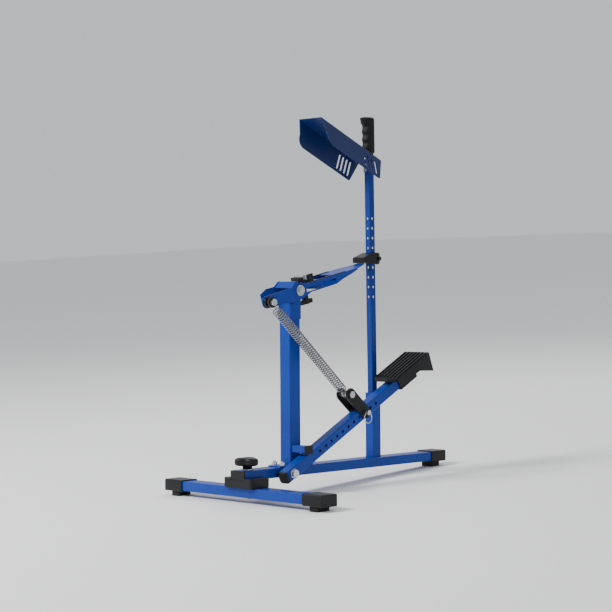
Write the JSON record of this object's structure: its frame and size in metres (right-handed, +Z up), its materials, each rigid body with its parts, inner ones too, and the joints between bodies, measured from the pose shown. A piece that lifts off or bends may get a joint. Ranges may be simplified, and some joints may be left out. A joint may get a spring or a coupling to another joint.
{
  "type": "pitching machine",
  "caption": "Foot-operated, spring-driven ball pitching machine: a throwing arm on a post, latched to a tilting upright with a guard and grip, on a T-shaped base.",
  "frame": {"origin": "centre of the footprint, on the floor", "axes": "+Z up; -Y is the way the ball leaves; +X is the pedal side"},
  "size_m": [0.578, 0.7724, 0.9728],
  "materials": {
    "blue_coat": "gloss powder coat",
    "navy_coat": "gloss powder coat",
    "black_plastic": "satin moulded",
    "rubber": "matt",
    "zinc": "bright zinc plate",
    "bush": "smooth"
  },
  "bodies": {
    "frame": {"clamp_stud": "zinc", "clamp_washer": "zinc", "saddle": "black_plastic", "base_tube": "blue_coat", "base_plug": "black_plastic", "rear_cap": "black_plastic", "foot_rear": "rubber", "post_flange": "blue_coat", "flange_bolts": "zinc", "main_post": "blue_coat", "stop_stub": "blue_coat", "stub_cap": "black_plastic", "pivot_yoke": "blue_coat", "arm_bumper": "rubber", "rear_sleeve": "blue_coat", "sleeve_buffer": "rubber", "rock_bolt": "blue_coat", "arm_axle": "zinc", "axle_washers": "zinc", "pedal_bolt": "zinc", "lever_spacer": "black_plastic"},
    "swivel": {"crossbar": "blue_coat", "crossbar_cap_left": "black_plastic", "crossbar_cap_right": "black_plastic", "foot_left": "rubber", "foot_right": "rubber"},
    "clamp": {"clamp_knob": "black_plastic"},
    "rocker": {"upright": "navy_coat", "hand_grip": "rubber", "guard": "navy_coat", "guard_bracket": "navy_coat", "guard_bolts": "zinc"},
    "catch": {"latch_block": "black_plastic"},
    "catch_screw": {"latch_screw": "zinc", "latch_knob": "black_plastic"},
    "arm": {"throw_arm": "blue_coat", "arm_hood": "blue_coat", "arm_web": "blue_coat", "arm_deck": "blue_coat", "rail_trims": "black_plastic", "spring_bolt": "zinc", "spring_spacers": "black_plastic", "spring_bush": "bush"},
    "stop": {"ball_stop": "black_plastic", "stop_nut": "zinc"},
    "stop_clamp": {"stop_screw": "zinc", "stop_knob": "black_plastic"},
    "pedal": {"pedal_lever": "blue_coat", "lever_cap": "black_plastic", "foot_pad": "black_plastic", "pad_screws": "zinc"},
    "slider": {"slider_bracket": "black_plastic", "slider_bolt": "zinc"},
    "pin": {"lock_pin": "zinc"},
    "ring": {"lock_ring": "zinc"},
    "spring_low": {"spring_bush_bottom": "bush", "spring_hook_bottom": "zinc", "spring_coil_lower": "zinc"},
    "spring_mid": {"spring_coil_upper": "zinc"},
    "spring_high": {"spring_hook_top": "zinc"}
  },
  "joints": [
    {"name": "crossbar_swivel", "type": "hinge", "parent": "frame", "child": "swivel", "pos_m": [0, -0.35101, 0.02695], "axis": [0, 0.0593, 0.9982], "range_deg": [-90, 90]},
    {"name": "clamp_turn", "type": "hinge", "parent": "frame", "child": "clamp", "pos_m": [0, -0.34679, 0.09783], "axis": [0, 0.0593, 0.9982], "range_deg": [-180, 180]},
    {"name": "upright_release", "type": "hinge", "parent": "frame", "child": "rocker", "pos_m": [0, 0.11988, 0.0701], "axis": [1, 0, 0], "range_deg": [-1.2, 0], "stiffness_Nm_per_rad": 40, "springref_deg": 5.73},
    {"name": "catch_height", "type": "slide", "parent": "rocker", "child": "catch", "axis": [0, 0.0456, 0.999], "range_m": [0, 0.0528]},
    {"name": "catch_turn", "type": "hinge", "parent": "catch", "child": "catch_screw", "pos_m": [0, 0.15778, 0.59292], "axis": [0, 0.999, -0.0456], "range_deg": [-180, 180]},
    {"name": "throw", "type": "hinge", "parent": "frame", "child": "arm", "pos_m": [0, -0.1626, 0.52566], "axis": [1, 0, 0], "range_deg": [0, 70], "deforming": ["spring_coil_lower", "spring_coil_upper", "spring_hook_top", "spring_hook_bottom"]},
    {"name": "stop_slide", "type": "slide", "parent": "arm", "child": "stop", "axis": [0, 0.9874, 0.1582], "range_m": [0, 0.022]},
    {"name": "stop_turn", "type": "hinge", "parent": "stop", "child": "stop_clamp", "pos_m": [0, -0.11718, 0.53293], "axis": [0, -0.1582, 0.9874], "range_deg": [-180, 180]},
    {"name": "pedal_press", "type": "hinge", "parent": "frame", "child": "pedal", "pos_m": [0, -0.24367, 0.06315], "axis": [1, 0, 0], "range_deg": [-22, 0], "stiffness_Nm_per_rad": 60, "springref_deg": 17.19, "deforming": ["spring_coil_lower", "spring_coil_upper", "spring_hook_top", "spring_hook_bottom"]},
    {"name": "slider_travel", "type": "slide", "parent": "pedal", "child": "slider", "axis": [0, 0.9092, 0.4163], "range_m": [-0.12, 0.048], "deforming": ["spring_coil_lower", "spring_coil_upper", "spring_hook_top", "spring_hook_bottom"]},
    {"name": "pin_pull", "type": "slide", "parent": "slider", "child": "pin", "axis": [1, 0, 0], "range_m": [0, 0.045]},
    {"name": "ring_swing", "type": "hinge", "parent": "pin", "child": "ring", "pos_m": [0.071, 0.03092, 0.18887], "axis": [0, 0.9982, -0.0593], "range_deg": [-80, 0]},
    {"name": "spring_follow", "type": "hinge", "parent": "slider", "child": "spring_low", "pos_m": [0.045, -0.02319, 0.24218], "axis": [1, 0, 0], "range_deg": [-0.5, 18.6], "deforming": ["spring_coil_lower", "spring_coil_upper", "spring_hook_top", "spring_hook_bottom"]},
    {"name": "spring_stretch", "type": "slide", "parent": "spring_low", "child": "spring_mid", "axis": [0, -0.7036, 0.7106], "range_m": [-0.001, 0.106], "deforming": ["spring_coil_lower", "spring_coil_upper", "spring_hook_top", "spring_hook_bottom"]},
    {"name": "spring_shorten", "type": "slide", "parent": "spring_mid", "child": "spring_high", "axis": [0, -0.7036, 0.7106], "range_m": [-0.1395, 0.001], "deforming": ["spring_coil_lower", "spring_coil_upper", "spring_hook_top", "spring_hook_bottom"]}
  ],
  "couplings": [
    {"joint": "spring_follow", "follows": "pedal_press", "ratio": -0.832},
    {"joint": "spring_stretch", "follows": "pedal_press", "m_per_rad": -0.2735},
    {"joint": "spring_shorten", "follows": "throw", "m_per_rad": -0.1132}
  ]
}
